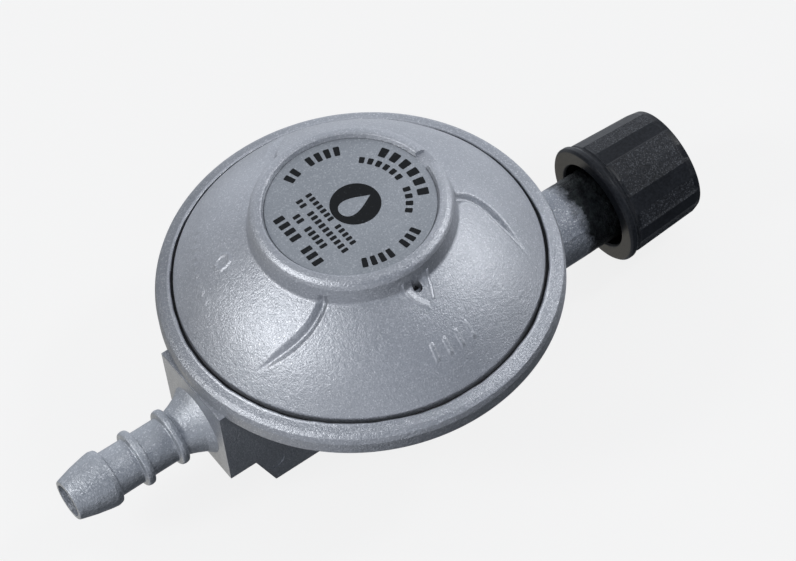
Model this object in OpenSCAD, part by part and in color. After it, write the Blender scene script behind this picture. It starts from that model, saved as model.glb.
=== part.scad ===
// Low-pressure gas regulator: a round diaphragm housing with a hose nozzle on one side
// and a hand-tightened cylinder nut on the other.
// The disc axis is Z. The origin is on that axis, in the plane of the flat underside.
// The inlet lies along +X and the outlet along -X.

/* [Housing] */
// Largest radius of the rolled rim
rim_r = 41.3; // [40.8:0.1:42]
// Height of the rim's top edge above the flat underside
rim_z = 34.4; // [34:0.1:35]
// Inner radius of the lip that is rolled over the cover
lip_r = 37.9; // [37.7:0.1:38.2]
// Half width of the valve block under the rim
block_half_w = 10.4; // [9.8:0.1:11]
// Where the valve block ends on the outlet side
block_front_x = -41.5; // [-42:0.1:-41]

/* [Cover] */
// Radius of the raised boss at its foot
boss_foot_r = 20.8; // [20.4:0.1:21.2]
// Height of the boss foot
boss_foot_z = 50.4; // [50:0.1:50.8]
// Height of the boss's top ring
boss_top_z = 55.5; // [55.3:0.1:56]
// Radius of the sealed disc in the boss
seal_disc_r = 17.0; // [16.6:0.1:17.1]
// Radius of the vent hole beside the boss
vent_r = 1.1; // [0.8:0.1:1.2]

/* [Outlet] */
// Height of the hose nozzle's axis
outlet_z = 18.6; // [18.2:0.1:19]
// Radius of the nozzle between its rings
nozzle_r = 4.9; // [4.6:0.1:5.1]
// Radius over the barb and the rings
barb_r = 6.15; // [5.9:0.05:6.4]
// Where the nozzle ends
nozzle_tip_x = -72.2; // [-73:0.1:-71.5]
// Radius of the gas passage in the nozzle
outlet_bore_r = 3.1; // [2.6:0.1:3.3]

/* [Inlet] */
// Height of the inlet axis
inlet_z = 7.4; // [7.2:0.1:7.6]
// Radius of the cast inlet spigot
spigot_r = 8.25; // [8:0.05:8.5]
// Where the handwheel ends
inlet_mouth_x = 78.2; // [78:0.1:79]
// Radius to the crests of the nut's thread
thread_r = 9.2; // [9:0.05:9.3]
// Outside radius of the handwheel at its rear
wheel_r = 13.2; // [13:0.1:13.5]
// Number of grip facets around the handwheel
wheel_facets = 10; // [8:1:12]

/* [Mechanism] */
// Travel of the diaphragm from open to shut
diaphragm_travel = 2.4; // [1.6:0.1:2.4]
// Distance from the lever's pin to the disc axis
lever_arm = 22; // [21.8:0.1:22.2]
// Height of the lever's pin
pivot_z = 20; // [19.8:0.1:20.2]
// Turns of the main spring
spring_turns = 4.5; // [4:0.5:5]
// Wire radius of the main spring
spring_wire_r = 0.8; // [0.6:0.05:0.9]

/* [Hidden] */
$fn = 96;

ALLOY = [0.62, 0.63, 0.65];
BLACK = [0.08, 0.08, 0.09];
BRASS = [0.75, 0.6, 0.3];
STEEL = [0.7, 0.71, 0.73];

// Housing heights, from the rim down
flange_top_z = rim_z - 0.2;
flange_seat_z = rim_z - 3.2;
bead_top_z = flange_seat_z + 1.4;
flange_r = 39.2;
cavity_floor_z = 17;
cavity_floor_r = 27;
block_top_z = rim_z - 4.15;
block_step_z = 9.5;
block_rear_x = 34;

// Inlet stations along X
spigot_end_x = 60.6;
passage_r = 4.4;
passage_end_x = 0;
nipple_r = 6;
nipple_start_x = 50;
nut_rear_x = 64;
nut_shoulder_x = 66.6;
nipple_flange_x = 66.9;
nipple_flange_end_x = 68.7;
washer_end_x = 70.4;
nipple_mouth_x = 70.6;
thread_start_x = 70.8;
wheel_rear_x = 58.3;
wheel_web_x = 62.8;
wheel_flange_r = 13.6;
recess_r = 9.7;
nut_insert_r = 11;

// Valve stations along X
seat_nose_x = -8;
seat_front_x = -6.5;
guide_end_x = -16;
pocket_start_x = -27;
slide_r = 3.3;
slide_rear_x = -25.4;
slide_clearance = 0.1;
pad_r = 2.3;

// Lever and its bracket
short_arm = pivot_z - inlet_z;
valve_gap = short_arm / lever_arm * diaphragm_travel + 0.1;
lever_pin_r = 1.04;
lever_half_w = 1.4;
lever_tip_r = 1.15;
ear_in = 3;
ear_out = 4.2;
ear_half_len = 2.6;
bracket_half_w = 10;
bracket_t = 1.2;
screw_y = 7.6;
screw_r = 1.2;
slot_half_w = 1.7;

// Heights in the spring chamber
membrane_z = 30.4;
membrane_t = 0.8;
plate_t = 1.1;
plate_z = membrane_z + membrane_t;
plate_top_z = plate_z + plate_t;
adjuster_z = 47.6;
adjuster_t = 4;
adjuster_r = 12.9;
adjuster_bore_r = 13;
spring_coil_r = 9.6;

// A solid of revolution about Z; points are [radius, height]
module turned(points) {
    rotate_extrude() polygon(points);
}

// A solid of revolution about X at height z; points are [radius, x]
module turned_x(z, points) {
    translate([0, 0, z]) rotate([0, 90, 0]) rotate_extrude() polygon(points);
}

// A round bar along X from x0 to x1 at height z
module bar_x(x0, x1, r, z) {
    translate([x0, 0, z]) rotate([0, 90, 0]) cylinder(h = x1 - x0, r = r);
}

// A round bar along Y from y0 to y1
module bar_y(x, z, y0, y1, r) {
    translate([x, y1, z]) rotate([90, 0, 0]) cylinder(h = y1 - y0, r = r);
}

// A plate drawn in the XZ plane, from y = -half_w to y = half_w
module side_plate(half_w) {
    translate([0, half_w, 0]) rotate([90, 0, 0]) linear_extrude(2 * half_w) children();
}

// A washer or tube about Z
module ring(r_out, r_in, z0, z1) {
    translate([0, 0, z0]) difference() {
        cylinder(h = z1 - z0, r = r_out);
        translate([0, 0, -1]) cylinder(h = z1 - z0 + 2, r = r_in);
    }
}

// A closed wire coil about Z; the wire's section is a regular polygon
module coil(coil_r, wire_r, z0, z1, turns, steps_per_turn = 20, sides = 8) {
    steps = turns * steps_per_turn;
    points = [for (i = [0:steps]) for (k = [0:sides - 1])
        let (a = 360 * turns * i / steps,
            t = 360 * k / sides,
            r = coil_r + wire_r * cos(t),
            z = z0 + (z1 - z0) * i / steps + wire_r * sin(t))
        [r * cos(a), r * sin(a), z]];
    walls = [for (i = [0:steps - 1]) for (k = [0:sides - 1])
        let (n = (k + 1) % sides, a = i * sides, b = (i + 1) * sides)
        each [[a + k, b + k, b + n], [a + k, b + n, a + n]]];
    first_end = [for (k = [1:sides - 2]) [0, k, k + 1]];
    last = steps * sides;
    last_end = [for (k = [1:sides - 2]) [last, last + k + 1, last + k]];
    polyhedron(points = points, faces = concat(walls, first_end, last_end), convexity = 10);
}

// The bowl under the diaphragm, outside, with the rim rolled over the cover
module bowl_outside() {
    turned([[0, 14.3], [27.5, 14.3], [35.4, 22], [38.9, 28.2], [40.5, 28.8], [rim_r, 29.8],
        [rim_r, 32.6], [40.9, 33.8], [40, rim_z], [lip_r + 0.2, rim_z + 0.7], [lip_r, rim_z + 0.5],
        [lip_r, flange_top_z], [0, flange_top_z]]);
}

// The space inside the bowl, up to the underside of the rolled lip
module bowl_inside() {
    turned([[0, cavity_floor_z], [cavity_floor_r, cavity_floor_z], [33, 24], [35.2, 29.6],
        [35.2, flange_seat_z], [flange_r, flange_seat_z], [flange_r, flange_top_z],
        [lip_r, flange_top_z], [lip_r, rim_z + 2], [0, rim_z + 2]]);
}

// The block below the rim: the outlet part is shallow and the valve part is deep
module valve_block() {
    side_plate(block_half_w)
        polygon([[block_front_x, block_top_z], [block_front_x, block_step_z], [-35.4, block_step_z],
            [-31.6, 0], [block_rear_x - 2, 0], [block_rear_x, 2],
            [block_rear_x, 24], [block_rear_x - 6, block_top_z]]);
}

// The hose nozzle's outside: a flared neck, two rings and a rounded barb at the tip
module nozzle_outside() {
    turned_x(outlet_z, [[0, block_front_x + 3], [8.4, block_front_x + 3], [7.6, block_front_x],
        [6.4, -43], [5.5, -45], [nozzle_r, -47.05], [barb_r - 0.5, -47.05], [barb_r, -47.5],
        [barb_r, -48.3], [barb_r - 0.5, -48.85], [nozzle_r, -48.85], [nozzle_r, -55.15],
        [barb_r - 0.5, -55.15], [barb_r, -55.6], [barb_r, -56.4], [barb_r - 0.5, -56.95],
        [nozzle_r, -56.95], [nozzle_r, -62.7], [barb_r, -63.3], [barb_r, -64.4],
        [5.7, -67], [5.2, -69.6], [4.6, nozzle_tip_x + 0.6], [4.1, nozzle_tip_x], [0, nozzle_tip_x]]);
}

module body_casting() {
    color(ALLOY) difference() {
        union() {
            bowl_outside();
            valve_block();
            nozzle_outside();
            bar_x(block_rear_x - 4, spigot_end_x, spigot_r, inlet_z);
        }
        bowl_inside();
        // gas passage through the nozzle into the bowl
        bar_x(nozzle_tip_x - 1, -25, outlet_bore_r, outlet_z);
        // inlet passage and the seat for the nipple
        bar_x(passage_end_x, spigot_end_x + 1, passage_r, inlet_z);
        bar_x(nipple_start_x, spigot_end_x + 1, nipple_r, inlet_z);
        // threaded seat for the orifice and the guide for the valve slide
        bar_x(seat_front_x, passage_end_x + 1, 4, inlet_z);
        bar_x(pocket_start_x + 1, seat_front_x + 1, slide_r + slide_clearance, inlet_z);
        // pocket that the lever reaches down into
        translate([pocket_start_x, -4.5, 3]) cube([guide_end_x - pocket_start_x, 9, 16]);
        // screw holes for the lever bracket
        for (y = [-screw_y, screw_y])
            translate([-lever_arm, y, cavity_floor_z - 5]) cylinder(h = 8, r = screw_r);
    }
}

// The cover's outline: rim flange, rounded dome, upright boss wall and top ring
module cover_outside() {
    dome_steps = 14;
    foot = [boss_foot_r, boss_foot_z];
    edge = [37.3, rim_z + 1.4];
    bulge = 1.5;
    dome = [for (i = [0:dome_steps]) let (t = i / dome_steps, lift = bulge * sin(180 * t))
        [edge[0] + (foot[0] - edge[0]) * t + lift * 0.68, edge[1] + (foot[1] - edge[1]) * t + lift * 0.73]];
    turned(concat([[0, bead_top_z], [flange_r, bead_top_z], [flange_r, flange_top_z],
        [37.4, flange_top_z]], dome, [[20.1, boss_top_z - 1.9], [19.7, boss_top_z - 0.8],
        [18.9, boss_top_z - 0.2], [17.8, boss_top_z], [0, boss_top_z]]));
}

// The spring chamber inside the cover, with the adjuster's threaded bore
module cover_inside() {
    turned([[0, bead_top_z - 1], [36.4, bead_top_z - 1], [35.4, rim_z + 1.2], [27.6, 43],
        [19.4, 49.4], [16.2, 49.4], [16.2, 44.5], [adjuster_bore_r, 44.5],
        [adjuster_bore_r, boss_top_z - 2], [seal_disc_r, boss_top_z - 2],
        [seal_disc_r + 0.15, boss_top_z + 1], [0, boss_top_z + 1]]);
}

module cover_casting() {
    color(ALLOY) difference() {
        cover_outside();
        cover_inside();
        // vent hole beside the boss, on the -Y side
        rotate([0, 0, -88]) translate([boss_foot_r + 0.3, 0, boss_foot_z - 8])
            cylinder(h = 12, r = vent_r);
        // pry notch that breaks the ring around the sealed disc
        translate([seal_disc_r - 0.6, -1.6, boss_top_z - 0.9]) cube([4, 3.2, 2]);
    }
}

module seal_disc() {
    color(ALLOY) difference() {
        translate([0, 0, boss_top_z - 2]) cylinder(h = 1.4, r = seal_disc_r - 0.05);
        translate([0, 0, boss_top_z - 2.2]) cylinder(h = 0.6, r = seal_disc_r - 2.5);
    }
}

module adjusting_screw() {
    color(BLACK) difference() {
        translate([0, 0, adjuster_z]) cylinder(h = adjuster_t, r = adjuster_r);
        // hexagon socket for the setting key
        translate([0, 0, adjuster_z - 1]) cylinder(h = adjuster_t + 2, r = 4, $fn = 6);
        // groove that centres the spring
        ring(spring_coil_r + 1.4, spring_coil_r - 1.4, adjuster_z - 1, adjuster_z + 0.6);
    }
}

module main_spring() {
    color(STEEL) coil(spring_coil_r, spring_wire_r, plate_top_z + spring_wire_r + 0.05,
        adjuster_z + 0.5 - spring_wire_r, spring_turns);
}

module diaphragm() {
    color(BLACK) turned([[2.1, membrane_z], [29.6, membrane_z], [31, membrane_z - 1.6],
        [33.4, membrane_z - 1.6], [34.9, flange_seat_z - 0.4], [35.2, flange_seat_z],
        [flange_r - 0.2, flange_seat_z], [flange_r - 0.2, bead_top_z], [36, bead_top_z],
        [34.6, bead_top_z - 0.6], [33, membrane_z - 0.7], [31.4, membrane_z - 0.7],
        [30, membrane_z + membrane_t], [2.1, membrane_z + membrane_t]]);
}

module diaphragm_plate() {
    color(STEEL) turned([[2.1, plate_z], [28, plate_z], [28.9, plate_z + 1.6], [28, plate_z + 1.9],
        [27.3, plate_top_z], [7.9, plate_top_z], [7.5, plate_top_z + 1.2],
        [6.7, plate_top_z + 1.2], [6.3, plate_top_z], [2.1, plate_top_z]]);
}

module diaphragm_stem() {
    color(BRASS) difference() {
        union() {
            translate([0, 0, 18]) cylinder(h = membrane_z - 18, r = 3.4);
            translate([0, 0, membrane_z - 1]) cylinder(h = plate_top_z + 2.2 - membrane_z, r = 2.1);
        }
        // window that holds the lever's tip
        translate([-5, -slot_half_w, pivot_z - 1.3]) cube([10, 2 * slot_half_w, 2.6]);
    }
}

module stem_clip() {
    color(STEEL) ring(4.6, 2.1, plate_top_z, plate_top_z + 0.7);
}

module lever() {
    color(STEEL) difference() {
        side_plate(lever_half_w) union() {
            translate([-lever_arm, pivot_z]) circle(r = ear_half_len);
            translate([-lever_arm, pivot_z - 0.9]) square([lever_arm, 1.8]);
            translate([0, pivot_z]) circle(r = lever_tip_r);
            translate([-lever_arm - 0.8, inlet_z]) square([1.6, short_arm]);
            translate([-lever_arm, inlet_z]) circle(r = lever_tip_r);
        }
        bar_y(-lever_arm, pivot_z, -3, 3, lever_pin_r + 0.06);
    }
}

module lever_pin() {
    color(STEEL) bar_y(-lever_arm, pivot_z, -5.4, 5.4, lever_pin_r);
}

// A folded bracket: two ears for the pin, two feet for the screws and a bridge between
module lever_bracket() {
    foot_x = -lever_arm - ear_half_len;
    color(STEEL) difference() {
        union() {
            for (side = [0, 1]) mirror([0, side, 0]) {
                translate([foot_x, ear_in, cavity_floor_z])
                    cube([2 * ear_half_len, ear_out - ear_in, pivot_z - cavity_floor_z]);
                bar_y(-lever_arm, pivot_z, ear_in, ear_out, ear_half_len);
                translate([foot_x, ear_in, cavity_floor_z])
                    cube([2 * ear_half_len, bracket_half_w - ear_in, bracket_t]);
            }
            // bridge that ties the two feet behind the pin
            translate([foot_x - 1.4, -6.4, cavity_floor_z]) cube([1.6, 12.8, bracket_t]);
        }
        bar_y(-lever_arm, pivot_z, -12, 12, lever_pin_r);
        for (y = [-screw_y, screw_y])
            translate([-lever_arm, y, cavity_floor_z - 1]) cylinder(h = 4, r = screw_r + 0.1);
    }
}

module bracket_screws() {
    head_z = cavity_floor_z + bracket_t;
    head_r = 2.1;
    color(STEEL) for (y = [-screw_y, screw_y])
        translate([-lever_arm, y, 0]) difference() {
            union() {
                translate([0, 0, cavity_floor_z - 4.4]) cylinder(h = 4.6 + bracket_t, r = screw_r);
                translate([0, 0, head_z]) cylinder(h = 1.2, r = head_r);
            }
            // driver slot
            translate([-3, -0.3, head_z + 0.7]) cube([6, 0.6, 1]);
        }
}

module valve_slide() {
    front_x = seat_nose_x - valve_gap - 0.6;
    color(BRASS) difference() {
        // six flats leave room for the gas beside the slide
        translate([slide_rear_x, 0, inlet_z]) rotate([0, 90, 0])
            cylinder(h = front_x - slide_rear_x, r = slide_r, $fn = 6);
        // slot that holds the lever's short arm
        translate([-lever_arm - 1.3, -slot_half_w, inlet_z - 1.7]) cube([2.6, 2 * slot_half_w, 8]);
        // recess for the rubber pad
        bar_x(front_x - 1.2, front_x + 1, pad_r, inlet_z);
    }
}

module valve_pad() {
    pad_face_x = seat_nose_x - valve_gap;
    color(BLACK) bar_x(pad_face_x - 1.8, pad_face_x, pad_r, inlet_z);
}

module orifice_seat() {
    color(BRASS) turned_x(inlet_z, [[0.9, seat_nose_x], [1.5, seat_nose_x], [2.3, seat_front_x],
        [4, seat_front_x], [4, passage_end_x], [2.6, passage_end_x], [2.6, -3], [0.9, -4.6]]);
}

module inlet_nipple() {
    neck_r = 5.4;
    bore_r = 3.6;
    color(BRASS) turned_x(inlet_z, [[bore_r, nipple_start_x], [nipple_r, nipple_start_x],
        [nipple_r, 61.9], [neck_r, 61.9], [neck_r, 62.9], [nipple_r, 62.9],
        [nipple_r, nipple_flange_x], [8.6, nipple_flange_x], [8.6, nipple_flange_end_x],
        [5.2, nipple_flange_end_x], [5.2, washer_end_x - 0.2], [4.7, nipple_mouth_x],
        [bore_r, nipple_mouth_x]]);
}

module sealing_washer() {
    color(BLACK) turned_x(inlet_z, [[5.2, nipple_flange_end_x], [8.6, nipple_flange_end_x],
        [8.6, washer_end_x], [5.2, washer_end_x]]);
}

// A sintered thimble pressed into the nipple's mouth; points are [radius, depth below the mouth]
module inlet_filter() {
    profile = [[0, 6.6], [2.7, 6.6], [3.1, 6], [3.1, 2], [3.6, 2], [3.6, 1], [2.3, 1], [2.3, 5.8], [0, 5.8]];
    color(BRASS) turned_x(inlet_z, [for (p = profile) [p[0], nipple_mouth_x - p[1]]]);
}

module excess_flow_seat() {
    color(BRASS) turned_x(inlet_z, [[1.5, 51], [3.6, 51], [3.6, 53], [2.4, 53]]);
}

module excess_flow_bobbin() {
    color(BLACK) difference() {
        turned_x(inlet_z, [[0, 54.6], [1.2, 54.6], [2.2, 55.6], [2.2, 56.6], [3.3, 57], [3.3, 59.4],
            [1.4, 59.4], [1.4, 60.4], [0, 60.4]]);
        // gas slots along the bobbin's guide band
        for (a = [0:90:270])
            translate([56.8, 0, inlet_z]) rotate([a, 0, 0]) translate([0, 2.7, -0.5]) cube([3, 1, 1]);
    }
}

// The light coil that holds the bobbin off its seat
module excess_flow_spring() {
    color(STEEL) translate([0, 0, inlet_z]) rotate([0, 90, 0])
        coil(2.75, 0.25, 53.3, 56.2, 3, 14, 6);
}

module retaining_ring() {
    color(STEEL) difference() {
        turned_x(inlet_z, [[5.4, 62], [7.6, 62], [7.6, 62.8], [5.4, 62.8]]);
        translate([61, -1.5, inlet_z - 9]) cube([3, 3, 9]);
    }
}

module nut_insert() {
    relief_r = thread_r + 0.5;
    shoulder_r = nipple_r + 0.2;
    color(BRASS) turned_x(inlet_z, [[shoulder_r, nut_rear_x], [nut_insert_r, nut_rear_x],
        [nut_insert_r, inlet_mouth_x - 0.2], [relief_r, inlet_mouth_x - 0.2],
        [thread_r, inlet_mouth_x - 0.8], [thread_r, thread_start_x], [relief_r, thread_start_x],
        [relief_r, nut_shoulder_x], [shoulder_r, nut_shoulder_x]]);
}

// One end of the grip's outline: each facet rises to a sharp leading edge.
// Each corner is [share of the facet, drop below the edge's radius].
module grip_outline(r) {
    pitch = 360 / wheel_facets;
    corners = [[0, 0], [0.55, 0.12], [0.985, 0.4]];
    polygon([for (i = [0:wheel_facets - 1]) for (c = corners)
        let (a = i * pitch + 8 + c[0] * pitch)
        [(r - c[1]) * cos(a), (r - c[1]) * sin(a)]]);
}

module handwheel() {
    grip_start_x = 61;
    front_r = wheel_r - 0.85;
    color(BLACK) difference() {
        union() {
            turned_x(inlet_z, [[recess_r, wheel_rear_x + 0.4], [recess_r + 0.5, wheel_rear_x],
                [wheel_flange_r - 0.5, wheel_rear_x], [wheel_flange_r, wheel_rear_x + 0.5],
                [wheel_flange_r, 59.9], [wheel_flange_r - 0.5, 60.4], [wheel_r - 0.5, 60.6],
                [wheel_r - 0.5, grip_start_x + 0.4], [recess_r, grip_start_x + 0.4]]);
            translate([grip_start_x, 0, inlet_z]) rotate([0, 90, 0])
                linear_extrude(inlet_mouth_x - grip_start_x - 0.8, scale = front_r / wheel_r)
                    grip_outline(wheel_r);
            turned_x(inlet_z, [[nut_insert_r, 70], [front_r - 0.3, 70],
                [front_r - 0.3, inlet_mouth_x - 0.8], [front_r - 1, inlet_mouth_x],
                [nut_insert_r, inlet_mouth_x]]);
        }
        // seat for the brass nut and the open recess behind it
        bar_x(nut_rear_x, inlet_mouth_x + 1, nut_insert_r, inlet_z);
        bar_x(wheel_web_x, nut_rear_x + 1, 8.6, inlet_z);
        bar_x(wheel_rear_x - 1, wheel_web_x, recess_r, inlet_z);
    }
}

body_casting();
cover_casting();
seal_disc();
adjusting_screw();
main_spring();
diaphragm();
diaphragm_plate();
diaphragm_stem();
stem_clip();
lever();
lever_pin();
lever_bracket();
bracket_screws();
valve_slide();
valve_pad();
orifice_seat();
inlet_nipple();
sealing_washer();
inlet_filter();
excess_flow_seat();
excess_flow_bobbin();
excess_flow_spring();
retaining_ring();
nut_insert();
handwheel();
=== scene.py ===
import math

import bmesh
import bpy
import numpy as np
from mathutils import Matrix, Vector, noise


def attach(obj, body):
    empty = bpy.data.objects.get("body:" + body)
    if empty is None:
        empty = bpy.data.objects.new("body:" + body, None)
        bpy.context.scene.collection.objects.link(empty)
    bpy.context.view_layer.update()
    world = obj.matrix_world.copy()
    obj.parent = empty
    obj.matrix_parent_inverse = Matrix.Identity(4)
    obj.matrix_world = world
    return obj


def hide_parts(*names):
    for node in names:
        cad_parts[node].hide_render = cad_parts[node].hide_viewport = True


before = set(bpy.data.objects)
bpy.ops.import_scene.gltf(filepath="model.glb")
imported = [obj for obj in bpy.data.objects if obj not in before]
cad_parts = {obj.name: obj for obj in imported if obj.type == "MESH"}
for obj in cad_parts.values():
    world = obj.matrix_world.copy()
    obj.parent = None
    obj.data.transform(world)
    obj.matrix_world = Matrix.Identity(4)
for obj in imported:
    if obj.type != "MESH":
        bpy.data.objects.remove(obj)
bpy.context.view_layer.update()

MM = 0.001

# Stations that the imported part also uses, in millimetres
RIM_Z = 34.4
FLANGE_TOP_Z = 34.2
BEAD_TOP_Z = 32.6
DISC_TOP_Z = 54.6
OUTLET_Z = 18.6
INLET_Z = 7.4
BLOCK_HALF_W = 10.4


# ---------------------------------------------------------------- mesh helpers

def smooth_step(low, high, value):
    """0 below low, 1 above high, with a smooth rise between them."""
    t = np.clip((value - low) / (high - low), 0.0, 1.0)
    return t * t * (3.0 - 2.0 * t)


def link_mesh(name, mesh):
    obj = bpy.data.objects.new(name, mesh)
    bpy.context.scene.collection.objects.link(obj)
    return obj


def finish_shading(obj, sharp_deg=34.0):
    """Smooth shading that keeps every edge sharper than sharp_deg."""
    obj.data.polygons.foreach_set("use_smooth", [True] * len(obj.data.polygons))
    obj.data.set_sharp_from_angle(angle=math.radians(sharp_deg))
    obj.data.update()


def mesh_from(name, points, faces, sharp_deg=34.0):
    """An object from points in millimetres, with its normals outwards."""
    mesh = bpy.data.meshes.new(name)
    mesh.from_pydata((np.asarray(points) * MM).tolist(), [], faces)
    bm = bmesh.new()
    bm.from_mesh(mesh)
    bmesh.ops.recalc_face_normals(bm, faces=bm.faces)
    bm.to_mesh(mesh)
    bm.free()
    obj = link_mesh(name, mesh)
    finish_shading(obj, sharp_deg)
    return obj


def rounded_path(corners, closed=True, arc_steps=5):
    """Corners are (a, b, fillet radius). Each corner becomes an arc that touches its two sides."""
    path = []
    count = len(corners)
    for i, (a, b, radius) in enumerate(corners):
        here = Vector((a, b))
        if radius <= 0 or (not closed and i in (0, count - 1)):
            path.append((a, b))
            continue
        before = Vector(corners[i - 1][:2]) - here
        after = Vector(corners[(i + 1) % count][:2]) - here
        half = before.angle(after) / 2
        if half > math.radians(88):
            path.append((a, b))
            continue
        reach = radius / math.tan(half)
        reach = min(reach, before.length * 0.48, after.length * 0.48)
        start = here + before.normalized() * reach
        end = here + after.normalized() * reach
        for k in range(arc_steps + 1):
            t = k / arc_steps
            point = (1 - t) ** 2 * start + 2 * t * (1 - t) * here + t ** 2 * end
            path.append((point.x, point.y))
    return path


def resampled(path, spacing):
    """The open path with extra points, so that no step is longer than spacing.

    spacing is a length, or a function that gives one from a point's first coordinate.
    """
    out = [path[0]]
    for a, b in zip(path, path[1:]):
        length = math.dist(a, b)
        longest = spacing(a[0]) if callable(spacing) else spacing
        steps = max(1, math.ceil(length / longest))
        for k in range(1, steps + 1):
            t = k / steps
            out.append((a[0] + (b[0] - a[0]) * t, a[1] + (b[1] - a[1]) * t))
    return out


def loop_faces(rows, columns):
    """Quads of a grid that closes in both directions."""
    faces = []
    for i in range(rows):
        i2 = (i + 1) % rows
        for j in range(columns):
            j2 = (j + 1) % columns
            faces.append((i * columns + j, i * columns + j2, i2 * columns + j2, i2 * columns + j))
    return faces


def tube_faces(rows, columns):
    """Quads of a grid that closes round the columns, with a cap at each end."""
    faces = []
    for i in range(rows - 1):
        for j in range(columns):
            j2 = (j + 1) % columns
            faces.append((i * columns + j, i * columns + j2, (i + 1) * columns + j2, (i + 1) * columns + j))
    faces.append(tuple(range(columns)))
    last = (rows - 1) * columns
    faces.append(tuple(last + j for j in reversed(range(columns))))
    return faces


def about_z(radius, height, theta):
    return np.stack([radius * np.cos(theta), radius * np.sin(theta), height], axis=-1)


def about_x(radius, station, phi, axis_z):
    """phi runs from +Y towards +Z."""
    return np.stack([station, radius * np.cos(phi), axis_z + radius * np.sin(phi)], axis=-1)


def grid(profile, columns):
    """Radius, station and angle arrays for a profile turned in that many columns."""
    radius = np.array([p[0] for p in profile])[:, None]
    station = np.array([p[1] for p in profile])[:, None]
    angle = np.linspace(0, 2 * math.pi, columns, endpoint=False)[None, :]
    shape = (len(profile), columns)
    return (np.broadcast_to(radius, shape).copy(), np.broadcast_to(station, shape).copy(),
            np.broadcast_to(angle, shape).copy())


def turned_z(name, profile, columns=96, closed=True, sharp_deg=34.0):
    radius, height, theta = grid(profile, columns)
    points = about_z(radius, height, theta).reshape(-1, 3)
    faces = (loop_faces if closed else tube_faces)(len(profile), columns)
    return mesh_from(name, points, faces, sharp_deg)


def turned_x(name, profile, axis_z, columns=96, closed=True, sharp_deg=34.0):
    radius, station, phi = grid(profile, columns)
    points = about_x(radius, station, phi, axis_z).reshape(-1, 3)
    faces = (loop_faces if closed else tube_faces)(len(profile), columns)
    return mesh_from(name, points, faces, sharp_deg)


def boolean(base, others, operation):
    """Joins the other solids to base or cuts them from it, and removes them."""
    for other in others:
        modifier = base.modifiers.new("join", "BOOLEAN")
        modifier.operation = operation
        modifier.object = other
        modifier.solver = "EXACT"
    graph = bpy.context.evaluated_depsgraph_get()
    mesh = bpy.data.meshes.new_from_object(base.evaluated_get(graph))
    base.modifiers.clear()
    base.data = mesh
    for other in others:
        bpy.data.objects.remove(other)
    return base


def line_distance(x, y, line):
    """Distance from each point to a polyline, and how far along it the nearest place is, 0 to 1."""
    best = np.full(x.shape, 1e9)
    along = np.zeros(x.shape)
    lengths = [math.dist(a, b) for a, b in zip(line, line[1:])]
    total = sum(lengths)
    done = 0.0
    for (a, b), length in zip(zip(line, line[1:]), lengths):
        dx, dy = b[0] - a[0], b[1] - a[1]
        t = np.clip(((x - a[0]) * dx + (y - a[1]) * dy) / (length * length), 0, 1)
        gap = np.hypot(x - a[0] - dx * t, y - a[1] - dy * t)
        nearer = gap < best
        best = np.where(nearer, gap, best)
        along = np.where(nearer, (done + t * length) / total, along)
        done += length
    return best, along


def inside_polygon(x, y, corners):
    inside = np.zeros(x.shape, dtype=bool)
    for (ax, ay), (bx, by) in zip(corners, corners[1:] + corners[:1]):
        crosses = (ay > y) != (by > y)
        with np.errstate(divide="ignore", invalid="ignore"):
            edge_x = ax + (y - ay) * (bx - ax) / (by - ay)
        inside ^= crosses & (x < edge_x)
    return inside


def polar(radius, degrees):
    return (radius * math.cos(math.radians(degrees)), radius * math.sin(math.radians(degrees)))


def wave_noise(points, scale, seed):
    """Smooth noise from -1 to 1 at each point."""
    shift = Vector((seed, seed * 1.7, seed * 0.3))
    return np.array([noise.noise(Vector(p) * scale + shift) for p in points])


# ---------------------------------------------------------------- materials

def set_input(shader, name, value):
    shader.inputs[name].default_value = value


def new_material(name, roughness, metallic=0.0):
    material = bpy.data.materials.new(name)
    material.use_nodes = True
    shader = material.node_tree.nodes["Principled BSDF"]
    set_input(shader, "Roughness", roughness)
    set_input(shader, "Metallic", metallic)
    return material, material.node_tree, shader


def add_noise(tree, scale, detail=2.0, roughness=0.5):
    coords = tree.nodes.new("ShaderNodeTexCoord")
    texture = tree.nodes.new("ShaderNodeTexNoise")
    texture.inputs["Scale"].default_value = scale
    texture.inputs["Detail"].default_value = detail
    texture.inputs["Roughness"].default_value = roughness
    tree.links.new(coords.outputs["Object"], texture.inputs["Vector"])
    return texture.outputs["Fac"]


def add_flecks(tree, scale):
    """A random value for each small cell."""
    coords = tree.nodes.new("ShaderNodeTexCoord")
    texture = tree.nodes.new("ShaderNodeTexVoronoi")
    texture.inputs["Scale"].default_value = scale
    separate = tree.nodes.new("ShaderNodeSeparateColor")
    tree.links.new(coords.outputs["Object"], texture.inputs["Vector"])
    tree.links.new(texture.outputs["Color"], separate.inputs["Color"])
    return separate.outputs["Red"]


def remap(tree, value, low, high, to_low, to_high):
    node = tree.nodes.new("ShaderNodeMapRange")
    for name, number in (("From Min", low), ("From Max", high), ("To Min", to_low), ("To Max", to_high)):
        node.inputs[name].default_value = number
    tree.links.new(value, node.inputs["Value"])
    return node.outputs["Result"]


def combine(tree, operation, first, second):
    node = tree.nodes.new("ShaderNodeMath")
    node.operation = operation
    for socket, value in zip(node.inputs, (first, second)):
        if isinstance(value, (int, float)):
            socket.default_value = value
        else:
            tree.links.new(value, socket)
    return node.outputs["Value"]


def blend_colors(tree, factor, first, second):
    node = tree.nodes.new("ShaderNodeMix")
    node.data_type = "RGBA"
    tree.links.new(factor, node.inputs["Factor"])
    for socket, value in ((node.inputs["A"], first), (node.inputs["B"], second)):
        if isinstance(value, tuple):
            socket.default_value = (*value, 1.0)
        else:
            tree.links.new(value, socket)
    return node.outputs["Result"]


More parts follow.
